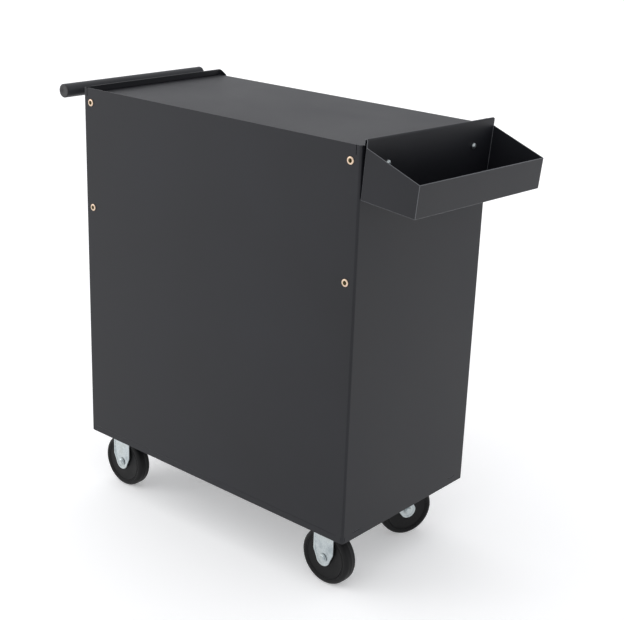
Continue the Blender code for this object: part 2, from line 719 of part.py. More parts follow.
# ---------------------------------------------------------------- side bin
def bin_matrix():
    """Carries the bin from its own axes (x away from the wall, z up its back) to its place on the wall."""
    place = Matrix.Translation((-SIDE - BIN_STANDOFF, 0, BODY_TOP - BIN_BELOW_TOP))
    tilt = Matrix.Rotation(BIN_DROOP, 4, "X") @ Matrix.Rotation(-BIN_LEAN, 4, "Y")
    return place @ tilt @ Matrix.Scale(-1, 4, (1, 0, 0))


def bin_screw_places():
    """Where the two screws cross the bin's back sheet."""
    ends = (BIN_SCREW_INSET - BIN_LENGTH / 2, BIN_LENGTH / 2 - BIN_SCREW_INSET)
    return [bin_matrix() @ Vector((0, y, BIN_SCREW_RISE)) for y in ends]


def side_bin(parent):
    """An open tray of folded sheet with a low front, its back edge folded over into a hook."""
    half = BIN_LENGTH / 2
    out, down = BIN_DEPTH * math.cos(BIN_FLOOR_RISE), BIN_DEPTH * math.sin(BIN_FLOOR_RISE)
    front_top = (out + BIN_FRONT * math.sin(BIN_FLARE), down + BIN_FRONT * math.cos(BIN_FLARE))
    tray = prism([(0, 0), (out, down), front_top, (0, BIN_SIDE)], "Y", -half, half)
    t = BIN_SHEET
    rise = t * math.tan(-BIN_FLOOR_RISE)
    over = BIN_SIDE + OVERRUN
    flared = out - t + over * math.sin(BIN_FLARE)
    room = [(t, t - rise), (out - t, down + t + rise), (flared, over), (t, over)]
    cut(tray, prism(room, "Y", t - half, half - t))
    x = t / 2
    back = [(x, BIN_SIDE - OVERRUN), (x, BIN_BACK - x)]
    back += [(x - BIN_HOOK, BIN_BACK - x), (x - BIN_HOOK, BIN_BACK - BIN_HOOK_DROP)]
    join(tray, prism(folded(back, t, BIN_HOOK_BEND), "Y", -half, half))
    for y in (BIN_SCREW_INSET - half, half - BIN_SCREW_INSET):
        cut(tray, rod("X", (-OVERRUN, y, BIN_SCREW_RISE), SCREW_HOLE_RADIUS, 2 * OVERRUN, 16))
    tray.data.transform(bin_matrix())
    tray.data.flip_normals()
    node("side_bin", tray, CHARCOAL, parent)

    seat = -t / math.cos(BIN_LEAN) - SCREW_HEAD_RADIUS * math.sin(BIN_LEAN) - TOUCH
    crown = seat - SCREW_HEAD_HEIGHT
    end = seat + SCREW_LENGTH
    profile = [(0, crown), (SCREW_CROWN_RADIUS, crown), (SCREW_HEAD_RADIUS, seat - SCREW_HEAD_HEIGHT / 2)]
    profile += [(SCREW_HEAD_RADIUS, seat), (SCREW_RADIUS, seat), (SCREW_RADIUS, end), (0, end)]
    for spot, word in zip(bin_screw_places(), ("front", "back")):
        node(f"bin_screw_{word}", turned(profile, "X", spot, 16), ZINC, parent)


# ---------------------------------------------------------------- rivet nuts
def rivet_nuts(parent):
    """Threaded inserts in the back wall, two near each side."""
    wall = BACK + TOUCH
    face = wall + NUT_FLANGE_THICK
    end = face - NUT_LENGTH
    profile = [(NUT_BORE_RADIUS, face), (NUT_FLANGE_RADIUS, face), (NUT_FLANGE_RADIUS, wall)]
    profile += [(NUT_BODY_RADIUS, wall), (NUT_BODY_RADIUS, end), (NUT_BORE_RADIUS, end)]
    for side, word in ((-1, "left"), (1, "right")):
        for drop, level in zip(NUT_DROPS, ("upper", "lower")):
            spot = (side * (SIDE - NUT_INSET), 0, BODY_TOP - drop)
            nut = turned(profile, "Y", spot, 20, closed=True)
            node(f"rivet_nut_{level}_{word}", nut, YELLOW_ZINC, parent)


# ---------------------------------------------------------------- casters
def wheel(name, parent):
    """A rubber wheel about its own Y axis, with a crowned tread, a shallow ring each side and a bored hub."""
    half = WHEEL_WIDTH / 2
    bore = AXLE_RADIUS + TOUCH
    tread = arc((WHEEL_RADIUS - TREAD_ROUND, half - TREAD_ROUND), TREAD_ROUND, math.pi / 2, 0, 3)
    floor = half - HUB_RECESS
    face = [(bore, half), (HUB_BOSS, half), (HUB_BOSS + HUB_RECESS, floor), (WHEEL_RADIUS - RIM_WIDTH, floor)]
    side = face + tread
    profile = side + [(r, -h) for r, h in reversed(side)]
    return node(name, turned(profile, "Y", (0, 0, 0), 36, closed=True), RUBBER, parent)


def axle_bolt(name, parent):
    """A shouldered bolt with a hexagon head at one end and a nut at the other, about its own Y axis."""
    seat = WHEEL_WIDTH / 2 + WHEEL_SIDE_GAP + FORK_SHEET + TOUCH
    head = seat + AXLE_HEAD
    bolt = rod("Y", (0, -head, 0), AXLE_RADIUS, 2 * head, 16)
    ends = []
    for low in (-head, seat):
        corners = arc((0, 0), AXLE_HEAD_RADIUS, 0, math.radians(300), 5)
        ends.append(prism(corners, "Y", low, low + AXLE_HEAD))
    join(bolt, *ends)
    return node(name, bolt, ZINC, parent)


def fork_legs(outline, axle_x):
    """Two fork legs of this outline, bored for the axle."""
    inner = WHEEL_WIDTH / 2 + WHEEL_SIDE_GAP
    legs = []
    for low in (-inner - FORK_SHEET, inner):
        leg = prism(outline, "Y", low, low + FORK_SHEET)
        spot = (axle_x, low - OVERRUN, WHEEL_RADIUS)
        hole = rod("Y", spot, AXLE_RADIUS + TOUCH, FORK_SHEET + 2 * OVERRUN, 16)
        legs.append(cut(leg, hole))
    return legs


def caster_plate(under):
    """The flat top plate of a caster, down to this height."""
    outline = rounded_rectangle(CASTER_PLATE_LENGTH / 2, CASTER_PLATE_WIDTH / 2, CASTER_PLATE_CORNER)
    return prism(outline, "Z", under, CASTER_HEIGHT)


def rigid_caster(side, parent):
    """A fixed caster whose fork and top plate are one pressing; its wheel rolls along X."""
    word = "right" if side > 0 else "left"
    name = f"rigid_caster_{word}"
    mount = empty(f"{name}_mount", parent, (side * (SIDE - RIGID_INSET_X), BACK - RIGID_INSET_Y, 0))
    crown = CASTER_HEIGHT - CASTER_PLATE
    half = FORK_TOP / 2
    shoulder = WHEEL_RADIUS + FORK_SHOULDER
    outline = [(half, crown), (-half, crown), (-half, shoulder)]
    outline += arc((0, WHEEL_RADIUS), FORK_TIP, math.radians(195), math.radians(345), 8)
    outline += [(half, shoulder)]
    legs = fork_legs(outline, 0)
    plate = caster_plate(crown)
    node(f"{name}_fork", join(plate, *legs), ZINC, mount)
    axle = empty(f"{name}_axle", mount, (0, 0, WHEEL_RADIUS))
    wheel(f"{name}_wheel", axle)
    axle_bolt(f"{name}_axle_bolt", axle)


def swivel_caster(side, parent):
    """A caster that turns on a ball race under its plate and trails its wheel behind the kingpin."""
    word = "right" if side > 0 else "left"
    name = f"swivel_caster_{word}"
    spot = (side * (SIDE - SWIVEL_INSET_X), FRONT + SWIVEL_INSET_Y, 0)
    mount = empty(f"{name}_mount", parent, spot)
    under = CASTER_HEIGHT - CASTER_PLATE
    plate = caster_plate(under)
    neck = under - SWIVEL_RACE
    edge = SWIVEL_RACE_RADIUS - SWIVEL_RACE_BULGE
    profile = [(0, under + TOUCH), (edge, under + TOUCH), (SWIVEL_RACE_RADIUS, (under + neck) / 2)]
    profile += [(edge, neck), (0, neck)]
    node(f"{name}_plate", join(plate, turned(profile, "Z", (0, 0, 0), 28)), ZINC, mount)

    kingpin = empty(f"{name}_kingpin", mount, (0, 0, 0), SWIVEL_REST[word])
    crown = neck - TOUCH
    half_crown = WHEEL_WIDTH / 2 + WHEEL_SIDE_GAP + FORK_SHEET
    reach = SWIVEL_RACE_RADIUS - SADDLE_INSET
    outline = [(reach, crown), (-reach, crown), (-reach, crown - SADDLE_DROP)]
    outline += arc((SWIVEL_TRAIL, WHEEL_RADIUS), FORK_TIP, math.radians(225), math.radians(370), 9)
    legs = fork_legs(outline, SWIVEL_TRAIL)
    saddle = prism(rounded_rectangle(reach, half_crown, SADDLE_CORNER), "Z", crown - FORK_SHEET, crown)
    node(f"{name}_fork", join(saddle, *legs), ZINC, kingpin)
    axle = empty(f"{name}_axle", kingpin, (SWIVEL_TRAIL, 0, WHEEL_RADIUS))
    wheel(f"{name}_wheel", axle)
    axle_bolt(f"{name}_axle_bolt", axle)


# ---------------------------------------------------------------- assembly
def centre_on_floor(root):
    """Moves the whole object so that its box stands on the floor with its middle over the origin."""
    bpy.context.view_layer.update()
    pieces = [obj for obj in bpy.context.scene.objects if obj.type == "MESH"]
    corners = [obj.matrix_world @ Vector(vertex.co) for obj in pieces for vertex in obj.data.vertices]
    lows = [min(corner[i] for corner in corners) for i in range(3)]
    highs = [max(corner[i] for corner in corners) for i in range(3)]
    root.location = (-(lows[0] + highs[0]) / 2, -(lows[1] + highs[1]) / 2, -lows[2])


def main():
    for obj in list(bpy.data.objects):
        bpy.data.objects.remove(obj)
    root = empty("tool_chest", None, (0, 0, 0))
    cabinet_shell(root)
    worktop(root)
    base_panel(root)
    for side in (-1, 1):
        slide_rack(side, root)
    for number, (bottom, height) in enumerate(drawer_layout(), 1):
        drawer(number, bottom, height, root)
    lock(root)
    push_handle(root)
    side_bin(root)
    rivet_nuts(root)
    for side in (-1, 1):
        rigid_caster(side, root)
        swivel_caster(side, root)
    centre_on_floor(root)


main()
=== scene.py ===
"""Looks of the rolling tool chest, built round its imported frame: finer pieces, coatings, floor, light and camera.

Metres, +Z up.  Every piece rides on a body of the frame, and stands for the nodes that it hides.
"""

import json
import math

import bmesh
import bpy
from mathutils import Matrix, Vector


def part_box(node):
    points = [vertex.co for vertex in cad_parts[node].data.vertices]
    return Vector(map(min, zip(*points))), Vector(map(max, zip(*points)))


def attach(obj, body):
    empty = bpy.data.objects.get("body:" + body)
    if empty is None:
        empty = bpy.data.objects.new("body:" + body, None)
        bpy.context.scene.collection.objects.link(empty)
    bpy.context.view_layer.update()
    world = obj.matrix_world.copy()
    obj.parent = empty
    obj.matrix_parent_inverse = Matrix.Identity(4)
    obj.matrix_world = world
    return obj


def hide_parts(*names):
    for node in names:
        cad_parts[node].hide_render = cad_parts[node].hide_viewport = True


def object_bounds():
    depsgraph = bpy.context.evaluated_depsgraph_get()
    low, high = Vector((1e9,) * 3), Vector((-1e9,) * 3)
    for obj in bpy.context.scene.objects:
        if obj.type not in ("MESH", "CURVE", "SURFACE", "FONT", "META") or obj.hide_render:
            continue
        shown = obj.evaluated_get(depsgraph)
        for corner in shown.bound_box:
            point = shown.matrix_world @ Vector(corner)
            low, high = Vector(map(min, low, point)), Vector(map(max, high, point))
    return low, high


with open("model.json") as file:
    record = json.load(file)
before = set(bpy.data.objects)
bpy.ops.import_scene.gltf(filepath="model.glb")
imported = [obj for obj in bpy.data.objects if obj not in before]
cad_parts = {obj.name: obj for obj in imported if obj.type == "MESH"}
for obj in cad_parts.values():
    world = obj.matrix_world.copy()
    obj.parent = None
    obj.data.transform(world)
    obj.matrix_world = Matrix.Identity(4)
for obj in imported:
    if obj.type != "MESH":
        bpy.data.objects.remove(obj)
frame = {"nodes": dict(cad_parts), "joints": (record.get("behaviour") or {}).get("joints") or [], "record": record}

FRAME_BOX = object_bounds()
NODES = frame["nodes"]
SLOT_OF = {name: obj.material_slots[0].name for name, obj in NODES.items()}
BODIES = frame["record"]["behaviour"]["bodies"]
BODY_OF = {node: body for body, nodes in BODIES.items() for node in nodes}
JOINTS = {joint["name"]: joint for joint in frame["joints"]}

# ---------------------------------------------------------------- sizes
# Widths of the rounded edges; on pieces in the cabinet coat these rounds carry a painted highlight.
EDGE = 0.00032
WIDE_EDGES = {"side_bin": 0.00050, "cabinet_shell": 0.00048}
FOOT_SLIT_INSET = 0.0048
FOOT_SLIT_HEIGHT = 0.011
FOOT_SLIT_HALF = 0.0005
FOOT_SLIT_REACH = 0.002
SEAM_RISE = 0.0115
SEAM_HALF = 0.0009
SEAM_PROUD = 0.00015
SEAM_INSET = 0.014
SEAM_SUNK = 0.0002
SHEET_NODES = ("cabinet_shell", "worktop", "base_panel", "side_bin", "slide_rack_left", "slide_rack_right")
DRAWERS = range(1, 6)
DRAWER_PARTS = ("front", "pull", "box", "slide_left", "slide_right")
SIDES = ("left", "right")
OVERRUN = 0.010

WHEEL_RADIUS = 0.0495
TYRE_RADIUS = 0.0493
WHEEL_HALF = 0.013
TREAD_ROUND = 0.007
PARTING_RISE = 0.00025
PARTING_HALF = 0.0004
HUB_RECESS = 0.0015
HUB_BOSS = 0.011
RIM_INNER = 0.036
WALL_GROOVE = 0.0412
WHEEL_BORE = 0.0043
WHEEL_STEPS = 96
RING_RADIUS = 0.0379
RING_BEAD = 0.0009
SLEEVE_RADIUS = 0.0058
SLEEVE_STAND = 0.0006
SLEEVE_SUNK = 0.002

FORK_SHEET = 0.0022
FORK_INNER = 0.0142
FORK_OUTER = FORK_INNER + FORK_SHEET
FORK_BEND = 0.0032
FORK_TOP = 0.042
FORK_TIP = 0.0145
FORK_SHOULDER = 0.012
FORK_RIM = 0.0030
FORK_PRESS = 0.0007
FORK_EDGE = 0.0003
CASTER_HEIGHT = 0.1175
CASTER_PLATE = 0.0025
PLATE_LENGTH = 0.084
PLATE_WIDTH = 0.060
PLATE_CORNER = 0.006
PLATE_BOLTS = (0.0335, 0.0215)
PLATE_BOLT_WASHER = 0.0072
PLATE_BOLT_SEAT = 0.0009
PLATE_BOLT_HEX = 0.0056
PLATE_BOLT_END = 0.0045
PLATE_EDGE = 0.0004
SWIVEL_TRAIL = 0.036
SWIVEL_CROWN = 0.1067
SADDLE_REACH = 0.0225
SADDLE_DROP = 0.006
RACE_RADIUS = 0.025
RACE_HEIGHT = 0.008
RACE_ROUND = 0.0042
RACE_LIP = 0.0045
RACE_GROOVE = 0.0022

AXLE_RADIUS = 0.004
AXLE_SEAT = FORK_OUTER + 0.0003
AXLE_HEAD = 0.0035
AXLE_HEX = 0.0062
AXLE_WASHER = 0.0078
WASHER_THICK = 0.0007
NUT_SHORTER = 0.0009
THREAD_PITCH = 0.0008
THREAD_DEPTH = 0.00035

NUT_FLANGE = 0.0012
NUT_LENGTH = 0.011
NUT_BORE = 0.0031
NUT_BODY = 0.0044

HANDLE_RADIUS = 0.012
HANDLE_WALL = 0.0012
HANDLE_EDGE = 0.0003
CAP_GAP = 0.0003
CAP_EDGE = 0.0015
CAP_PLUG_LENGTH = 0.012
CAP_DIMPLE = 0.0005
BRACKET_EDGE = 0.0009
BRACKET_THICK = 0.004
BRACKET_SCREW_DROP = 0.029
SOCKET_RADIUS = 0.0021

LINER_THICK = 0.0016
LINER_GAP = 0.003
LINER_LIFT = 0.0011
LINER_CORNER = 0.004
LINER_RIBS = 44
LINER_RIB_MARGIN = 0.006
RIB_FOOT = 0.0016
RIB_CREST = 0.0009

SCREW_NUT_SEAT = 0.0015
SCREW_SEAT = 0.0035
SCREW_THREAD = 0.0026
SCREW_TURN = 0.5
CROSS_LONG = 0.0023
CROSS_SHORT = 0.00055
CROSS_DEPTH = 0.0016
SCREW_NUT_HEX = 0.0046
SCREW_NUT_THICK = 0.0035
LOCK_BORE = 0.0058
LOCK_THROAT = 0.009
LOCK_RIM = 0.0017

WORLD_STRENGTH = 1.0
SUN_STRENGTH = 1.35
SUN_ANGLE = 110
SUN_FROM = (0.25, 0.20, 0.95)
FLOOR_HALF = 30
FLOOR_GLOW = 0.28
KEY_FROM = (2.3, 2.4, 0.9)
KEY_SIZE = 1.3
KEY_POWER = 12

LENS = 72.735
SENSOR = 36
ROLL = 2.09371
FORWARD = (0.61070, -0.71790, -0.33416)
STAND_OFF = (-1.40677, 1.55369, 1.02279)


# ---------------------------------------------------------------- shape helpers
def arc(centre, radius, start, end, steps):
    """Points on an arc, both ends included, with its angles in degrees."""
    points = []
    for i in range(steps + 1):
        angle = math.radians(start + (end - start) * i / steps)
        points.append((centre[0] + radius * math.cos(angle), centre[1] + radius * math.sin(angle)))
    return points


def folded(path, thickness, bend, steps=6):
    """The closed outline of a strip of sheet that follows a path, with round bends."""
    points = [Vector(p) for p in path]
    line = []
    for i, point in enumerate(points):
        if i in (0, len(points) - 1):
            along = (points[1] - point) if i == 0 else (point - points[-2])
            along.normalize()
            line.append((point, Vector((-along.y, along.x))))
            continue
        before = (point - points[i - 1]).normalized()
        after = (points[i + 1] - point).normalized()
        turn = before.angle_signed(after) * -1
        start = point - before * bend * math.tan(abs(turn) / 2)
        normal = Vector((-before.y, before.x))
        centre = start + normal * math.copysign(bend, turn)
        for k in range(steps + 1):
            spin = Matrix.Rotation(turn * k / steps, 2)
            line.append((centre + spin @ (start - centre), spin @ normal))
    left = [p + n * thickness / 2 for p, n in line]
    right = [p - n * thickness / 2 for p, n in line]
    return [tuple(p) for p in left + right[::-1]]


def to_object(bm):
    """An unnamed object holding this shape, smooth shaded, with its faces pointing out."""
    bmesh.ops.recalc_face_normals(bm, faces=bm.faces)
    mesh = bpy.data.meshes.new("shape")
    bm.to_mesh(mesh)
    bm.free()
    mesh.shade_smooth()
    obj = bpy.data.objects.new("shape", mesh)
    bpy.context.scene.collection.objects.link(obj)
    return obj


def prism(outline, axis, low, high):
    """An outline in the plane across an axis, extruded along that axis."""
    place = {
        "X": lambda u, v, w: (w, u, v),
        "Y": lambda u, v, w: (u, w, v),
        "Z": lambda u, v, w: (u, v, w),
    }[axis]
    bm = bmesh.new()
    rings = [[bm.verts.new(place(u, v, w)) for u, v in outline] for w in (low, high)]
    bm.faces.new(rings[0])
    bm.faces.new(rings[1][::-1])
    for i in range(len(outline)):
        j = (i + 1) % len(outline)
        bm.faces.new((rings[0][i], rings[0][j], rings[1][j], rings[1][i]))
    return to_object(bm)


def block(low, high):
    """A plain box between two corners, used to cut or to be rounded."""
    (x0, y0, z0), (x1, y1, z1) = low, high
    return prism([(x0, y0), (x1, y0), (x1, y1), (x0, y1)], "Z", z0, z1)


def rounded_rectangle(half_u, half_v, radius, steps=6):
    """A rectangle about the origin with round corners."""
    points = []
    for k, (su, sv) in enumerate(((1, 1), (-1, 1), (-1, -1), (1, -1))):
        centre = (su * (half_u - radius), sv * (half_v - radius))
        points += arc(centre, radius, k * 90, (k + 1) * 90, steps)
    return points


def turned(profile, axis="Y", segments=64, closed=False):
    """A profile of (radius, height) points turned about an axis; closed joins its ends, for a bored piece."""
    place = {
        "X": lambda c, s, h: (h, c, s),
        "Y": lambda c, s, h: (c, h, s),
        "Z": lambda c, s, h: (c, s, h),
    }[axis]
    bm = bmesh.new()
    rings = []
    for radius, height in profile:
        ring = []
        for i in range(segments if radius > 0 else 1):
            angle = 2 * math.pi * i / segments
            ring.append(bm.verts.new(place(radius * math.cos(angle), radius * math.sin(angle), height)))
        rings.append(ring)
    pairs = list(zip(rings, rings[1:]))
    if closed:
        pairs.append((rings[-1], rings[0]))
    for lower, upper in pairs:
        for i in range(segments):
            j = (i + 1) % segments
            corners = []
            for ring, index in ((lower, i), (lower, j), (upper, j), (upper, i)):
                vert = ring[index % len(ring)]
                if vert not in corners:
                    corners.append(vert)
            bm.faces.new(corners)
    return to_object(bm)


def shrunk(outline, inset):
    """A convex outline moved inwards by the same distance on every edge."""
    points = [Vector(p) for p in outline]
    middle = sum(points, Vector((0, 0))) / len(points)
    result = []
    for i, point in enumerate(points):
        before = (point - points[i - 1]).normalized()
        after = (points[(i + 1) % len(points)] - point).normalized()
        normals = [Vector((-d.y, d.x)) for d in (before, after)]
        normals = [n if n.dot(middle - point) > 0 else -n for n in normals]
        bisector = (normals[0] + normals[1]).normalized()
        result.append(point + bisector * inset / max(bisector.dot(normals[0]), 0.3))
    return [tuple(p) for p in result]


def combine(base, tools, operation):
    """Joins, cuts or crosses the base with the tools, and removes them."""
    for tool in tools:
        modifier = base.modifiers.new("combine", "BOOLEAN")
        modifier.object = tool
        modifier.operation = operation
    bpy.context.view_layer.update()
    graph = bpy.context.evaluated_depsgraph_get()
    mesh = bpy.data.meshes.new_from_object(base.evaluated_get(graph))
    base.modifiers.clear()
    base.data = mesh
    for tool in tools:
        bpy.data.objects.remove(tool)
    return base


def merged(objects):
    """Several shapes as one object, without joining their surfaces."""
    bm = bmesh.new()
    for obj in objects:
        bm.from_mesh(obj.data)
        bpy.data.objects.remove(obj)
    return to_object(bm)


def moved(obj, matrix):
    """Moves the shape itself and leaves the object's own place alone."""
    obj.data.transform(matrix)
    return obj


def at(point):
    return Matrix.Translation(Vector(point))


def copied(name):
    """A new object with a node's shape, its triangles run together into whole faces."""
    bm = bmesh.new()
    bm.from_mesh(NODES[name].data)
    bmesh.ops.remove_doubles(bm, verts=bm.verts, dist=1e-6)
    bmesh.ops.dissolve_limit(bm, angle_limit=math.radians(0.5), verts=bm.verts, edges=bm.edges)
    return to_object(bm)


def softened(obj, width=EDGE, segments=2, angle=33):
    """Rounds every sharp edge, so that it catches the light as a coated edge does."""
    bevel = obj.modifiers.new("edges", "BEVEL")
    bevel.width = width
    bevel.segments = segments
    bevel.limit_method = "ANGLE"
    bevel.angle_limit = math.radians(angle)
    bevel.use_clamp_overlap = True
    normals = obj.modifiers.new("normals", "WEIGHTED_NORMAL")
    normals.keep_sharp = True
    return obj


def flat_edges(obj, angle=32):
    """Keeps edges sharper than this angle crisp."""
    obj.data.set_sharp_from_angle(angle=math.radians(angle))
    return obj


# ---------------------------------------------------------------- node materials
def new_material(name):
    material = bpy.data.materials.new(name)
    material.use_nodes = True
    tree = material.node_tree
    return material, tree, tree.nodes["Principled BSDF"]


def coordinates(tree, stretch=(1, 1, 1)):
    """The piece's own coordinates, in metres, stretched along each axis."""
    source = tree.nodes.new("ShaderNodeTexCoord")
    mapping = tree.nodes.new("ShaderNodeMapping")
    mapping.inputs["Scale"].default_value = stretch
    tree.links.new(source.outputs["Object"], mapping.inputs["Vector"])
    return mapping.outputs["Vector"]


def noise(tree, vector, scale, detail=2.0, roughness=0.5):
    node = tree.nodes.new("ShaderNodeTexNoise")
    node.inputs["Scale"].default_value = scale
    node.inputs["Detail"].default_value = detail
    node.inputs["Roughness"].default_value = roughness
    tree.links.new(vector, node.inputs["Vector"])
    return node.outputs["Fac"]


def cells(tree, vector, scale, feature="F1", output="Color"):
    node = tree.nodes.new("ShaderNodeTexVoronoi")
    node.feature = feature
    node.inputs["Scale"].default_value = scale
    tree.links.new(vector, node.inputs["Vector"])
    return node.outputs[output]


def ramp(tree, factor, stops):
    """A colour ramp from (position, colour) stops."""
    node = tree.nodes.new("ShaderNodeValToRGB")
    elements = node.color_ramp.elements
    while len(elements) < len(stops):
        elements.new(0.5)
    for element, (position, colour) in zip(elements, stops):
        element.position = position
        element.color = (*colour, 1)
    tree.links.new(factor, node.inputs["Fac"])
    return node.outputs["Color"]


def remap(tree, value, low, high, start=0.0, end=1.0):
    node = tree.nodes.new("ShaderNodeMapRange")
    for name, number in (("From Min", start), ("From Max", end), ("To Min", low), ("To Max", high)):
        node.inputs[name].default_value = number
    tree.links.new(value, node.inputs["Value"])
    return node.outputs["Result"]


def blended(tree, factor, first, second, mode="MIX"):
    """Two colours mixed by a factor; each colour is a socket or a plain value."""
    node = tree.nodes.new("ShaderNodeMix")
    node.data_type = "RGBA"
    node.blend_type = mode
    sockets = [s for s in node.inputs if s.type == "RGBA"]
    for socket, colour in zip(sockets, (first, second)):
        if isinstance(colour, bpy.types.NodeSocket):
            tree.links.new(colour, socket)
        else:
            socket.default_value = (*colour, 1)
    if isinstance(factor, bpy.types.NodeSocket):
        tree.links.new(factor, node.inputs["Factor"])
    else:
        node.inputs["Factor"].default_value = factor
    return next(s for s in node.outputs if s.type == "RGBA")


def bump(tree, shader, height, strength, distance, under=None):
    node = tree.nodes.new("ShaderNodeBump")
    node.inputs["Strength"].default_value = strength
    node.inputs["Distance"].default_value = distance
    tree.links.new(height, node.inputs["Height"])
    if under is not None:
        tree.links.new(under, node.inputs["Normal"])
    tree.links.new(node.outputs["Normal"], shader.inputs["Normal"])
    return node.outputs["Normal"]


def powder_coat(name, colour, roughness, peel=0.22, ior=1.36):
    """Satin powder coat: fine orange peel, dark and light grains, and slow changes of tone and gloss."""
    material, tree, shader = new_material(name)
    place = coordinates(tree)
    broad = noise(tree, place, 5, 3)
    grain = noise(tree, place, 1500, 3, 0.7)
    peel_shape = noise(tree, place, 620, 2, 0.45)
    dark = tuple(c * 0.80 for c in colour)
    light = tuple(c * 1.16 for c in colour)
    tone = ramp(tree, broad, [(0.30, dark), (0.70, light)])
    speckle = ramp(tree, grain, [(0.34, (0.55, 0.55, 0.56)), (0.52, (1, 1, 1)), (0.72, (1, 1, 1))])
    tree.links.new(blended(tree, 0.55, tone, speckle, "MULTIPLY"), shader.inputs["Base Color"])
    gloss = tree.nodes.new("ShaderNodeMath")
    gloss.operation = "ADD"
    tree.links.new(remap(tree, broad, -0.035, 0.035, 0.3, 0.7), gloss.inputs[0])
    tree.links.new(remap(tree, grain, roughness - 0.05, roughness + 0.07, 0.3, 0.7), gloss.inputs[1])
    tree.links.new(gloss.outputs[0], shader.inputs["Roughness"])
    first = bump(tree, shader, peel_shape, peel, 0.00035)
    bump(tree, shader, grain, 0.10, 0.00010, first)
    shader.inputs["IOR"].default_value = ior
    return material


def zinc_plate(name, tints, roughness, scale=1.0):
    """Plated steel: cloudy passivated tints, faint drawing lines and small dull spots."""
    material, tree, shader = new_material(name)
    place = coordinates(tree)
    drawn = coordinates(tree, (1, 1, 14))
    cloud = noise(tree, place, 70 * scale, 4, 0.6)
    lines = noise(tree, drawn, 160 * scale, 3, 0.6)
    spots = noise(tree, place, 900, 2, 0.6)
    stops = [(0.28 + 0.44 * i / (len(tints) - 1), tint) for i, tint in enumerate(tints)]
    colour = ramp(tree, cloud, stops)
    dull = ramp(tree, spots, [(0.30, (0.62, 0.64, 0.66)), (0.48, (1, 1, 1))])
    tree.links.new(blended(tree, 0.6, colour, dull, "MULTIPLY"), shader.inputs["Base Color"])
    tree.links.new(remap(tree, lines, roughness - 0.08, roughness + 0.12, 0.3, 0.7), shader.inputs["Roughness"])
    first = bump(tree, shader, lines, 0.12, 0.00012)
    bump(tree, shader, cloud, 0.10, 0.0002, first)
    shader.inputs["Metallic"].default_value = 0.92
    return material


def galvanised(name):
    """Hot-dip galvanised sheet: crystal spangles, each with its own tone and gloss."""
    material, tree, shader = new_material(name)
    place = coordinates(tree)
    spangle = cells(tree, place, 150)
    value = tree.nodes.new("ShaderNodeSeparateColor")
    tree.links.new(spangle, value.inputs["Color"])
    fine = noise(tree, place, 700, 3, 0.6)
    colour = ramp(tree, value.outputs["Red"], [(0.0, (0.30, 0.31, 0.33)), (1.0, (0.56, 0.58, 0.60))])
    cloud = ramp(tree, fine, [(0.3, (0.82, 0.82, 0.83)), (0.7, (1, 1, 1))])
    tree.links.new(blended(tree, 0.7, colour, cloud, "MULTIPLY"), shader.inputs["Base Color"])
    tree.links.new(remap(tree, value.outputs["Green"], 0.30, 0.50), shader.inputs["Roughness"])
    bump(tree, shader, fine, 0.10, 0.00015)
    shader.inputs["Metallic"].default_value = 0.88
    return material


def rubber(name, colour, roughness):
    """Moulded rubber: fine pores and a faint grey bloom."""
    material, tree, shader = new_material(name)
    place = coordinates(tree)
    bloom = noise(tree, place, 42, 4, 0.6)
    pores = noise(tree, place, 1300, 2, 0.6)
    light = tuple(c * 2.1 for c in colour)
    tone = ramp(tree, bloom, [(0.36, colour), (0.74, light)])
    grain = ramp(tree, pores, [(0.32, (0.6, 0.6, 0.6)), (0.5, (1, 1, 1))])
    tree.links.new(blended(tree, 0.7, tone, grain, "MULTIPLY"), shader.inputs["Base Color"])
    tree.links.new(remap(tree, bloom, roughness - 0.08, roughness + 0.1, 0.3, 0.7), shader.inputs["Roughness"])
    bump(tree, shader, pores, 0.25, 0.0002)
    shader.inputs["IOR"].default_value = 1.30
    return material


def moulded_plastic(name, colour, roughness):
    """Moulded black plastic with a spark-eroded grain."""
    material, tree, shader = new_material(name)
    place = coordinates(tree)
    pits = cells(tree, place, 1100, "SMOOTH_F1", "Distance")
    broad = noise(tree, place, 60, 3)
    tone = ramp(tree, broad, [(0.3, colour), (0.7, tuple(c * 1.35 for c in colour))])
    tree.links.new(tone, shader.inputs["Base Color"])
    tree.links.new(remap(tree, broad, roughness - 0.05, roughness + 0.06, 0.3, 0.7), shader.inputs["Roughness"])
    bump(tree, shader, pits, 0.3, 0.0003)
    return material


COATS = {
    "cabinet_coat": powder_coat("cabinet_coat_look", (0.0112, 0.0118, 0.0150), 0.44),
    "handle_coat": powder_coat("handle_coat_look", (0.0330, 0.0345, 0.0385), 0.42, 0.15),
    "pull_coat": powder_coat("pull_coat_look", (0.0095, 0.0098, 0.0115), 0.32, 0.12),
    "cap_plastic": moulded_plastic("cap_plastic_look", (0.0130, 0.0132, 0.0140), 0.48),
    "galvanised": galvanised("galvanised_look"),
    "bright_zinc": zinc_plate(
        "bright_zinc_look", [(0.40, 0.45, 0.47), (0.57, 0.62, 0.63), (0.50, 0.54, 0.53)], 0.30
    ),
    "yellow_zinc": zinc_plate(
        "yellow_zinc_look", [(0.66, 0.46, 0.34), (0.70, 0.55, 0.40), (0.70, 0.47, 0.42)], 0.32, 4.0
    ),
    "wheel_rubber": rubber("wheel_rubber_look", (0.0034, 0.0034, 0.0037), 0.50),
}
# The rounded edges of pieces in the cabinet coat get this lighter coat: a painted highlight along every edge.
PAINTED_EDGE_HIGHLIGHT = powder_coat("painted_edge_highlight_look", (0.135, 0.140, 0.152), 0.34, 0.10, 1.5)
# A dark plating for the faces inside the thread of each rivet nut: painted shade in the bore.
NUT_BORE_PAINTED_SHADE = zinc_plate("nut_bore_painted_shade_look", [(0.10, 0.07, 0.03), (0.16, 0.14, 0.06)], 0.45, 4.0)
LINER = rubber("drawer_liner_look", (0.011, 0.011, 0.012), 0.75)

for name, obj in NODES.items():
    obj.material_slots[0].material = COATS[SLOT_OF[name]]


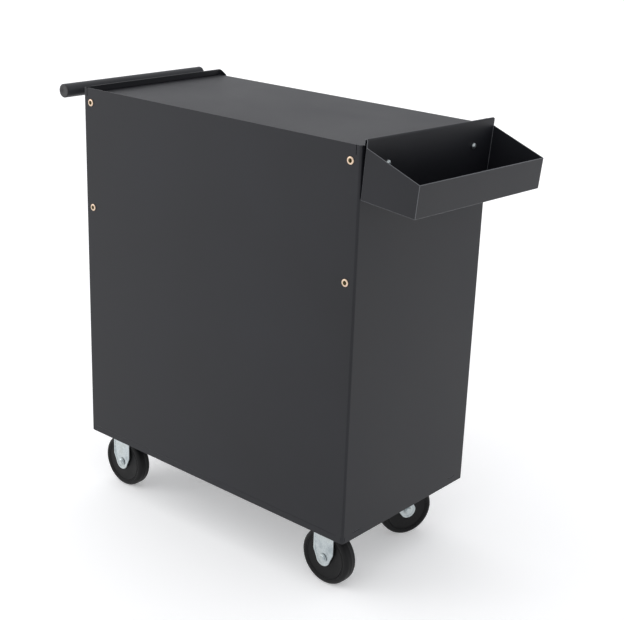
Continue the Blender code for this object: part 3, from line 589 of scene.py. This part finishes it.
# ---------------------------------------------------------------- placing
def named(obj, name, material, body):
    """Names a piece, gives it its material, and lets it ride on a body."""
    obj.name = name
    obj.data.name = name
    obj.data.materials.clear()
    obj.data.materials.append(material)
    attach(obj, body)
    return obj


def stands_for(obj, *nodes):
    """Shows a finer shape in place of one or more nodes, with the first one's body and finish."""
    first = nodes[0]
    named(obj, f"{first}_look", COATS[SLOT_OF[first]], BODY_OF[first])
    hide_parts(*nodes)
    # Pieces in the cabinet coat wear a lighter material on their rounded edges, a painted highlight.
    if SLOT_OF[first] == "cabinet_coat" and "edges" in obj.modifiers:
        obj.data.materials.append(PAINTED_EDGE_HIGHLIGHT)
        obj.modifiers["edges"].material = 1
    return obj


def added(obj, name, node, slot, material=None):
    """A small piece that has no node of its own and moves with this node."""
    return named(obj, name, material or COATS[slot], BODY_OF[node])


# ---------------------------------------------------------------- fasteners
def hexagon(radius, low, high, axis="Y"):
    """A hexagon head or nut whose outer corners are chamfered."""
    step = (high - low) * 0.22
    profile = [(0, low), (radius, low), (radius, high - step), (radius * 0.86, high), (0, high)]
    return flat_edges(turned(profile, axis, 6), 20)


def washer(bore, radius, low, high, axis="Y"):
    """A flat ring whose outer edges are chamfered."""
    edge = (high - low) * 0.3
    rim = radius - abs(edge)
    profile = [(bore, low), (rim, low), (radius, low + edge), (radius, high - edge), (rim, high), (bore, high)]
    return flat_edges(turned(profile, axis, 48, closed=True))


def thread(radius, low, high):
    """The (radius, height) points of a run of thread crests and roots."""
    turns = max(1, round(abs(high - low) / THREAD_PITCH))
    points = []
    for i in range(turns):
        start = low + (high - low) * i / turns
        middle = low + (high - low) * (i + 0.5) / turns
        points += [(radius - THREAD_DEPTH, start), (radius, middle)]
    return points + [(radius - THREAD_DEPTH, high)]


# ---------------------------------------------------------------- sheet metal
def foot_slits():
    """Cutters for the relief slits on both sides of each back corner, up from the lower edge."""
    low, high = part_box("cabinet_shell")
    top = low.z + FOOT_SLIT_HEIGHT
    foot = low.z - OVERRUN
    y = high.y - FOOT_SLIT_INSET
    cutters = []
    for wall, inward in ((low.x, 1), (high.x, -1)):
        x = wall + inward * FOOT_SLIT_INSET
        reach = sorted((wall - inward * FOOT_SLIT_REACH, wall + inward * FOOT_SLIT_REACH))
        start = (x - FOOT_SLIT_HALF, high.y - FOOT_SLIT_REACH, foot)
        cutters.append(block(start, (x + FOOT_SLIT_HALF, high.y + FOOT_SLIT_REACH, top)))
        cutters.append(block((reach[0], y - FOOT_SLIT_HALF, foot), (reach[1], y + FOOT_SLIT_HALF, top)))
    return cutters


def sheet_pieces():
    """Every folded piece keeps its shape and gets rounded edges, which carry a painted highlight on pieces in the
    cabinet coat.
    """
    names = list(SHEET_NODES)
    names += [f"drawer_{number}_{part}" for number in DRAWERS for part in DRAWER_PARTS]
    for name in names:
        shape = copied(name)
        if name == "cabinet_shell":
            combine(shape, foot_slits(), "DIFFERENCE")
            shape.data.shade_smooth()
        stands_for(softened(shape, WIDE_EDGES.get(name, EDGE)), name)


def floor_seam():
    """The faint ridge that the floor's turned-down edge leaves across the foot of the back."""
    low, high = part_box("cabinet_shell")
    z = low.z + SEAM_RISE
    back = high.y - SEAM_SUNK
    section = [(back, z - SEAM_HALF), (high.y + SEAM_PROUD, z), (back, z + SEAM_HALF)]
    seam = prism(section, "X", low.x + SEAM_INSET, high.x - SEAM_INSET)
    added(seam, "back_floor_seam", "cabinet_shell", "cabinet_coat")


def drawer_liners():
    """A ribbed rubber mat on the floor of each drawer."""
    for number in DRAWERS:
        low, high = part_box(f"drawer_{number}_box")
        half_x = (high.x - low.x) / 2 - LINER_GAP
        half_y = (high.y - low.y) / 2 - LINER_GAP
        base = low.z + LINER_LIFT
        root = base + LINER_THICK * 0.5
        crest = base + LINER_THICK
        outline = rounded_rectangle(half_x, half_y, LINER_CORNER)
        ribs = [prism(outline, "Z", base, base + LINER_THICK * 0.55)]
        for i in range(LINER_RIBS):
            x = -half_x + LINER_RIB_MARGIN + (2 * half_x - 2 * LINER_RIB_MARGIN) * i / (LINER_RIBS - 1)
            rib = [(x - RIB_FOOT, root), (x + RIB_FOOT, root), (x + RIB_CREST, crest), (x - RIB_CREST, crest)]
            ribs.append(prism(rib, "Y", -half_y + LINER_CORNER, half_y - LINER_CORNER))
        liner = moved(merged(ribs), at(((low.x + high.x) / 2, (low.y + high.y) / 2, 0)))
        added(flat_edges(liner), f"drawer_{number}_liner", f"drawer_{number}_box", "wheel_rubber", LINER)


# ---------------------------------------------------------------- handle
def handle():
    """The tube, its caps, its brackets and the screws that hold them."""
    low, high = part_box("handle_tube")
    centre = (low + high) / 2
    half = (high.y - low.y) / 2
    bore = HANDLE_RADIUS - HANDLE_WALL
    shoulder = HANDLE_RADIUS - HANDLE_EDGE
    profile = [(bore, -half), (shoulder, -half), (HANDLE_RADIUS, -half + HANDLE_EDGE)]
    profile += [(HANDLE_RADIUS, half - HANDLE_EDGE), (shoulder, half), (bore, half)]
    stands_for(flat_edges(moved(turned(profile, "Y", 72, closed=True), at(centre))), "handle_tube")

    for side, word in ((-1, "front"), (1, "back")):
        low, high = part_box(f"handle_cap_{word}")
        outer = high.y if side > 0 else low.y
        seat = centre.y + side * (half + CAP_GAP)
        inner = seat - side * CAP_PLUG_LENGTH
        dimple = outer - side * CAP_DIMPLE
        plug = bore - CAP_GAP
        rounding = arc((HANDLE_RADIUS - CAP_EDGE, 0), CAP_EDGE, 0, 90, 6)
        profile = [(0, inner), (plug - 0.0006, inner), (plug, seat - side * 0.010)]
        profile += [(plug, seat), (HANDLE_RADIUS, seat)]
        profile += [(r, outer - side * (CAP_EDGE - h)) for r, h in rounding]
        profile += [(0.004, outer), (0.0034, dimple), (0, dimple)]
        cap = flat_edges(turned(profile, "Y", 72), 40)
        stands_for(moved(cap, at((centre.x, 0, centre.z))), f"handle_cap_{word}")

        name = f"handle_bracket_{word}"
        stands_for(softened(copied(name), BRACKET_EDGE, 4), name)
        low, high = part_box(name)
        face = low.x + BRACKET_THICK
        spot = (0, (low.y + high.y) / 2, centre.z - BRACKET_SCREW_DROP)
        dome = [(0, face + 0.0030), (0.0020, face + 0.0029), (0.0038, face + 0.0022), (0.0048, face + 0.0009)]
        dome += [(0.0050, face), (0, face)]
        head = turned(dome, "X", 48)
        low_x, high_x = face + 0.0012, face + 0.005
        socket = turned([(0, low_x), (SOCKET_RADIUS, low_x), (SOCKET_RADIUS, high_x), (0, high_x)], "X", 6)
        combine(head, [socket], "DIFFERENCE")
        added(flat_edges(moved(head, at(spot)), 25), f"{name}_screw", name, "bright_zinc")


# ---------------------------------------------------------------- casters
def wheel_profile():
    """One half of the wheel's section, from its bore out over the side wall to the tread."""
    floor = WHEEL_HALF - HUB_RECESS
    points = [(WHEEL_BORE, WHEEL_HALF - 0.0004), (WHEEL_BORE + 0.0004, WHEEL_HALF)]
    points += [(HUB_BOSS - 0.0007, WHEEL_HALF), (HUB_BOSS, WHEEL_HALF - 0.0006)]
    points += [(HUB_BOSS + 0.0006, floor + 0.0002), (HUB_BOSS + 0.0014, floor)]
    points += [(RIM_INNER, floor), (RIM_INNER + 0.0008, floor + 0.0002)]
    points += arc((RING_RADIUS, floor + 0.0003), RING_BEAD, 180, 0, 6)
    points.append((RING_RADIUS + 0.0016, WHEEL_HALF - 0.0003))
    points += [(WALL_GROOVE - 0.0006, WHEEL_HALF - 0.0001), (WALL_GROOVE, WHEEL_HALF - 0.0005)]
    points += [(WALL_GROOVE + 0.0006, WHEEL_HALF - 0.0001)]
    centre = (TYRE_RADIUS - PARTING_RISE - TREAD_ROUND, WHEEL_HALF - TREAD_ROUND)
    points += arc(centre, TREAD_ROUND, 90, 0, 9)
    points += [(TYRE_RADIUS - PARTING_RISE, PARTING_HALF * 2), (TYRE_RADIUS, PARTING_HALF)]
    return points


def axle_matrix(joint):
    """Carries a caster's own axes (y along its axle, x the way it trails) to its axle's place."""
    y = Vector(joint["axis"]).normalized()
    z = Vector((0, 0, 1))
    x = y.cross(z)
    turn = Matrix((x, y, z)).transposed().to_4x4()
    return at(joint["pos_m"]) @ turn


def wheel(name, matrix):
    """A solid rubber wheel, and the ends of its bearing sleeve."""
    half = wheel_profile()
    profile = half + [(r, -h) for r, h in reversed(half)]
    piece = flat_edges(turned(profile, "Y", WHEEL_STEPS, closed=True), 38)
    stands_for(moved(piece, matrix), f"{name}_wheel")
    sleeves = []
    for face in (-1, 1):
        ends = (face * (WHEEL_HALF - SLEEVE_SUNK), face * (WHEEL_HALF + SLEEVE_STAND))
        sleeves.append(washer(AXLE_RADIUS + 0.0002, SLEEVE_RADIUS, *ends))
    sleeve = flat_edges(merged(sleeves))
    added(moved(sleeve, matrix), f"{name}_sleeve", f"{name}_wheel", "bright_zinc")


def axle_bolt(name, matrix):
    """A hexagon bolt with washers, and a nut that shows the end of the thread."""
    shank = turned([(0, -AXLE_SEAT), (AXLE_RADIUS, -AXLE_SEAT), (AXLE_RADIUS, AXLE_SEAT), (0, AXLE_SEAT)], "Y", 32)
    seat = AXLE_SEAT + WASHER_THICK
    top = AXLE_SEAT + AXLE_HEAD
    bore = AXLE_RADIUS - 0.0002
    parts = [shank, washer(bore, AXLE_WASHER, AXLE_SEAT, seat), washer(bore, AXLE_WASHER, -seat, -AXLE_SEAT)]
    parts.append(moved(hexagon(AXLE_HEX, seat, top), Matrix.Rotation(math.pi, 4, "Z")))
    parts.append(hexagon(AXLE_HEX, seat, top - NUT_SHORTER))
    end = thread(AXLE_RADIUS * 0.78, top - 0.0012, top + 0.0004)
    parts.append(turned([(0, top - 0.0012), *end, (0, top + 0.0004)], "Y", 32))
    bolt = flat_edges(merged(parts), 24)
    stands_for(moved(bolt, matrix), f"{name}_axle_bolt")


def pressed_fork(outline, top, low_x, high_x):
    """A fork pressed from one sheet: two legs and a crown with round bends, and a raised rim round each leg."""
    y = FORK_INNER + FORK_SHEET / 2
    z = top - FORK_SHEET / 2
    path = [(-y, -0.02), (-y, z), (y, z), (y, -0.02)]
    strip = prism(folded(path, FORK_SHEET, FORK_BEND), "X", low_x - OVERRUN, high_x + OVERRUN)
    combine(strip, [prism(outline, "Y", -FORK_OUTER - OVERRUN, FORK_OUTER + OVERRUN)], "INTERSECT")
    pocket = shrunk(outline, FORK_RIM)
    pockets = []
    for face in (-1, 1):
        ends = sorted((face * (FORK_OUTER - FORK_PRESS), face * (FORK_OUTER + OVERRUN)))
        pockets.append(prism(pocket, "Y", *ends))
    combine(strip, pockets, "DIFFERENCE")
    strip.data.shade_smooth()
    return softened(strip, FORK_EDGE)


def plate_bolts(top):
    """Four bolt heads with washers under a caster's plate."""
    parts = []
    for x in (-PLATE_BOLTS[0], PLATE_BOLTS[0]):
        for y in (-PLATE_BOLTS[1], PLATE_BOLTS[1]):
            spot = at((x, y, top)) @ Matrix.Rotation(math.pi, 4, "X")
            parts.append(moved(washer(0.002, PLATE_BOLT_WASHER, 0, PLATE_BOLT_SEAT, "Z"), spot))
            parts.append(moved(hexagon(PLATE_BOLT_HEX, PLATE_BOLT_SEAT, PLATE_BOLT_END, "Z"), spot))
    return parts


def plate():
    """A caster's top plate with round corners."""
    outline = rounded_rectangle(PLATE_LENGTH / 2, PLATE_WIDTH / 2, PLATE_CORNER)
    return prism(outline, "Z", CASTER_HEIGHT - CASTER_PLATE, CASTER_HEIGHT)


def rigid_casters():
    """The two fixed casters along the back."""
    for side in SIDES:
        name = f"rigid_caster_{side}"
        matrix = axle_matrix(JOINTS[f"rigid_wheel_{side}_spin"])
        ground = matrix @ at((0, 0, -WHEEL_RADIUS))
        wheel(name, matrix)
        axle_bolt(name, matrix)
        crown = CASTER_HEIGHT - CASTER_PLATE
        half = FORK_TOP / 2
        shoulder = WHEEL_RADIUS + FORK_SHOULDER
        outline = [(half, crown), (-half, crown), (-half, shoulder)]
        outline += arc((0, WHEEL_RADIUS), FORK_TIP, 190, 350, 18)
        outline.append((half, shoulder))
        fork = pressed_fork(outline, crown, -half, half)
        stands_for(moved(fork, ground), f"{name}_fork")
        top = softened(moved(plate(), ground), PLATE_EDGE)
        added(top, f"{name}_plate", f"{name}_fork", "bright_zinc")
        bolts = flat_edges(merged(plate_bolts(crown)), 24)
        added(moved(bolts, ground), f"{name}_plate_bolts", f"{name}_fork", "bright_zinc")


def race_profile(top):
    """The ball race under a swivel plate: an upper cup, a dark gap and a lower ring."""
    middle = top - RACE_HEIGHT / 2
    edge = RACE_RADIUS - RACE_LIP
    groove = RACE_RADIUS - RACE_GROOVE
    points = [(0, top + 0.0002), (edge - 0.001, top + 0.0002)]
    points += arc((edge, middle + 0.0010), RACE_ROUND, 78, 12, 8)
    points += [(groove, middle + 0.0005), (groove, middle - 0.0005)]
    points += arc((edge, middle - 0.0010), RACE_ROUND, -12, -70, 8)
    return points + [(edge - 0.002, top - RACE_HEIGHT), (0, top - RACE_HEIGHT)]


def swivel_casters():
    """The two swivel casters along the front."""
    for side in SIDES:
        name = f"swivel_caster_{side}"
        matrix = axle_matrix(JOINTS[f"swivel_wheel_{side}_spin"])
        ground = matrix @ at((0, 0, -WHEEL_RADIUS))
        kingpin = ground @ at((-SWIVEL_TRAIL, 0, 0))
        wheel(name, matrix)
        axle_bolt(name, matrix)
        outline = [(SADDLE_REACH, SWIVEL_CROWN), (-SADDLE_REACH, SWIVEL_CROWN)]
        outline.append((-SADDLE_REACH, SWIVEL_CROWN - SADDLE_DROP))
        outline += arc((SWIVEL_TRAIL, WHEEL_RADIUS), FORK_TIP, 222, 372, 18)
        fork = pressed_fork(outline, SWIVEL_CROWN, -SADDLE_REACH, SWIVEL_TRAIL + FORK_TIP)
        stands_for(moved(fork, kingpin), f"{name}_fork")
        under = SWIVEL_CROWN - FORK_SHEET
        rivet = [(0, under - 0.0032), (0.0030, under - 0.0030), (0.0052, under - 0.0018), (0.0060, under)]
        rivet.append((0, under))
        added(moved(flat_edges(turned(rivet, "Z", 40), 50), kingpin), f"{name}_kingpin", f"{name}_fork", "bright_zinc")

        low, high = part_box(f"{name}_plate")
        middle = (low + high) / 2
        square = at((middle.x, middle.y, high.z - CASTER_HEIGHT))
        top = CASTER_HEIGHT - CASTER_PLATE
        race = flat_edges(turned(race_profile(top), "Z", 72), 40)
        stands_for(moved(race, square), f"{name}_plate")
        added(softened(moved(plate(), square), PLATE_EDGE), f"{name}_top_plate", f"{name}_plate", "bright_zinc")
        bolts = flat_edges(merged(plate_bolts(top)), 24)
        added(moved(bolts, square), f"{name}_plate_bolts", f"{name}_plate", "bright_zinc")


# ---------------------------------------------------------------- small hardware
def rivet_nuts():
    """Flanged inserts with a rounded rim, a chamfered mouth and a threaded bore."""
    for level in ("upper", "lower"):
        for side in SIDES:
            name = f"rivet_nut_{level}_{side}"
            low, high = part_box(name)
            middle = (low + high) / 2
            radius = (high.x - low.x) / 2
            face = high.y
            wall = face - NUT_FLANGE
            root = NUT_BORE + THREAD_DEPTH
            profile = [(root, face), (radius - 0.0007, face), (radius - 0.0002, face - 0.0003)]
            profile += [(radius, face - 0.0007), (radius, wall), (NUT_BODY, wall), (NUT_BODY, face - NUT_LENGTH)]
            profile += thread(root, face - NUT_LENGTH, face - 0.0006)
            nut = flat_edges(turned(profile, "Y", 56, closed=True), 40)
            # Faces inside the thread take the dark plating: painted shade down the bore.
            inside = [math.hypot(f.center.x, f.center.z) < root for f in nut.data.polygons]
            stands_for(moved(nut, at((middle.x, 0, middle.z))), name)
            nut.data.materials.append(NUT_BORE_PAINTED_SHADE)
            nut.data.polygons.foreach_set("material_index", [int(flag) for flag in inside])


def bin_screws():
    """Pan-head screws with a cross recess, each with a nut on the inside of the wall."""
    for word in ("front", "back"):
        name = f"bin_screw_{word}"
        low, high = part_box(name)
        middle = (low + high) / 2
        crown = low.x
        seat = crown + SCREW_SEAT
        dome = [(0, crown), (0.0022, crown + 0.0002), (0.0038, crown + 0.0009), (0.0047, crown + 0.0020)]
        profile = dome + [(0.00495, seat), (0.0025, seat)]
        profile += thread(SCREW_THREAD, seat + 0.0002, high.x - 0.0006) + [(0, high.x)]
        screw = turned(profile, "X", 48)
        cuts = []
        for half_y, half_z in ((CROSS_LONG, CROSS_SHORT), (CROSS_SHORT, CROSS_LONG)):
            start = (crown - 0.002, -half_y, -half_z)
            cuts.append(block(start, (crown + CROSS_DEPTH, half_y, half_z)))
        combine(screw, cuts, "DIFFERENCE")
        spot = at((0, middle.y, middle.z))
        stands_for(flat_edges(moved(moved(screw, Matrix.Rotation(SCREW_TURN, 4, "X")), spot), 28), name)
        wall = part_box("cabinet_shell")[0].x + SCREW_NUT_SEAT
        nut = hexagon(SCREW_NUT_HEX, wall, wall + SCREW_NUT_THICK, "X")
        added(moved(nut, spot), f"{name}_nut", name, "bright_zinc")


def lock():
    """The lock's ring with a turned bead, and its keyed plug."""
    low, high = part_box("lock_housing")
    middle = (low + high) / 2
    radius = (high.x - low.x) / 2
    face = low.y
    back = face + LOCK_RIM
    profile = [(LOCK_BORE, face + 0.0004), (LOCK_BORE + 0.0004, face), (0.0082, face), (0.0086, face + 0.0003)]
    profile += [(0.0092, face + 0.0003), (0.0096, face), (radius - 0.0008, face + 0.0001)]
    profile += [(radius, face + 0.0009), (radius, back), (LOCK_THROAT, back)]
    profile += [(LOCK_THROAT, high.y), (LOCK_BORE, high.y)]
    ring = flat_edges(turned(profile, "Y", 64, closed=True), 40)
    stands_for(moved(ring, at((middle.x, 0, middle.z))), "lock_housing")
    stands_for(softened(copied("lock_cylinder"), 0.00015, 2), "lock_cylinder")
    stands_for(softened(copied("lock_bar")), "lock_bar")


# ---------------------------------------------------------------- stage
def floor():
    """A wide pale floor with the faintest mottling."""
    bm = bmesh.new()
    corners = [(-1, -1), (1, -1), (1, 1), (-1, 1)]
    bm.faces.new([bm.verts.new((x * FLOOR_HALF, y * FLOOR_HALF, FRAME_BOX[0].z)) for x, y in corners])
    plane = to_object(bm)
    plane.name = "floor"
    material, tree, shader = new_material("floor_paint")
    tone = ramp(tree, noise(tree, coordinates(tree), 1.2, 3), [(0.3, (0.90, 0.90, 0.90)), (0.7, (0.93, 0.93, 0.93))])
    tree.links.new(tone, shader.inputs["Base Color"])
    shader.inputs["Roughness"].default_value = 0.85
    shader.inputs["Emission Color"].default_value = (1, 1, 1, 1)
    shader.inputs["Emission Strength"].default_value = FLOOR_GLOW
    plane.data.materials.append(material)


def area_light(name, centre, offset, size, power):
    """A square light at an offset from a point, facing that point."""
    data = bpy.data.lights.new(name, "AREA")
    data.shape = "SQUARE"
    data.size = size
    data.energy = power
    light = bpy.data.objects.new(name, data)
    light.location = centre + Vector(offset)
    light.rotation_euler = Vector(offset).to_track_quat("Z", "Y").to_euler()
    bpy.context.scene.collection.objects.link(light)


def studio_world():
    """Soft light from all round, brightest near the horizon."""
    world = bpy.data.worlds.new("studio")
    bpy.context.scene.world = world
    world.use_nodes = True
    tree = world.node_tree
    source = tree.nodes.new("ShaderNodeTexCoord")
    height = tree.nodes.new("ShaderNodeSeparateXYZ")
    tree.links.new(source.outputs["Generated"], height.inputs["Vector"])
    stops = [(0.0, (0.96, 0.97, 1.0)), (0.35, (0.72, 0.73, 0.76)), (1.0, (0.34, 0.34, 0.35))]
    tree.links.new(ramp(tree, height.outputs["Z"], stops), tree.nodes["Background"].inputs["Color"])
    tree.nodes["Background"].inputs["Strength"].default_value = WORLD_STRENGTH


def light():
    """The studio world, a wide overhead sun, and a key light off the handle side of the back."""
    scene = bpy.context.scene
    studio_world()
    sun = bpy.data.lights.new("overhead", "SUN")
    sun.energy = SUN_STRENGTH
    sun.angle = math.radians(SUN_ANGLE)
    sky = bpy.data.objects.new("overhead", sun)
    sky.rotation_euler = Vector(SUN_FROM).to_track_quat("Z", "Y").to_euler()
    scene.collection.objects.link(sky)
    centre = (FRAME_BOX[0] + FRAME_BOX[1]) / 2
    area_light("key", centre, KEY_FROM, KEY_SIZE, KEY_POWER)
    scene.view_settings.view_transform = "Standard"


def camera():
    """The camera's place is given from the cabinet's own box, and it is rolled a little."""
    low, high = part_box("cabinet_shell")
    data = bpy.data.cameras.new("camera")
    data.lens = LENS
    data.sensor_width = SENSOR
    data.sensor_fit = "HORIZONTAL"
    forward = Vector(FORWARD).normalized()
    level = forward.cross(Vector((0, 0, 1))).normalized()
    upright = level.cross(forward)
    roll = math.radians(ROLL)
    right = level * math.cos(roll) + upright * math.sin(roll)
    up = upright * math.cos(roll) - level * math.sin(roll)
    turn = Matrix((right, up, -forward)).transposed().to_4x4()
    foot = Vector(((low.x + high.x) / 2, (low.y + high.y) / 2, low.z))
    spot = foot + Vector(STAND_OFF)
    obj = bpy.data.objects.new("camera", data)
    obj.matrix_world = Matrix.Translation(spot) @ turn
    bpy.context.scene.collection.objects.link(obj)
    bpy.context.scene.camera = obj


camera()
sheet_pieces()
floor_seam()
drawer_liners()
handle()
rigid_casters()
swivel_casters()
rivet_nuts()
bin_screws()
lock()
floor()
light()
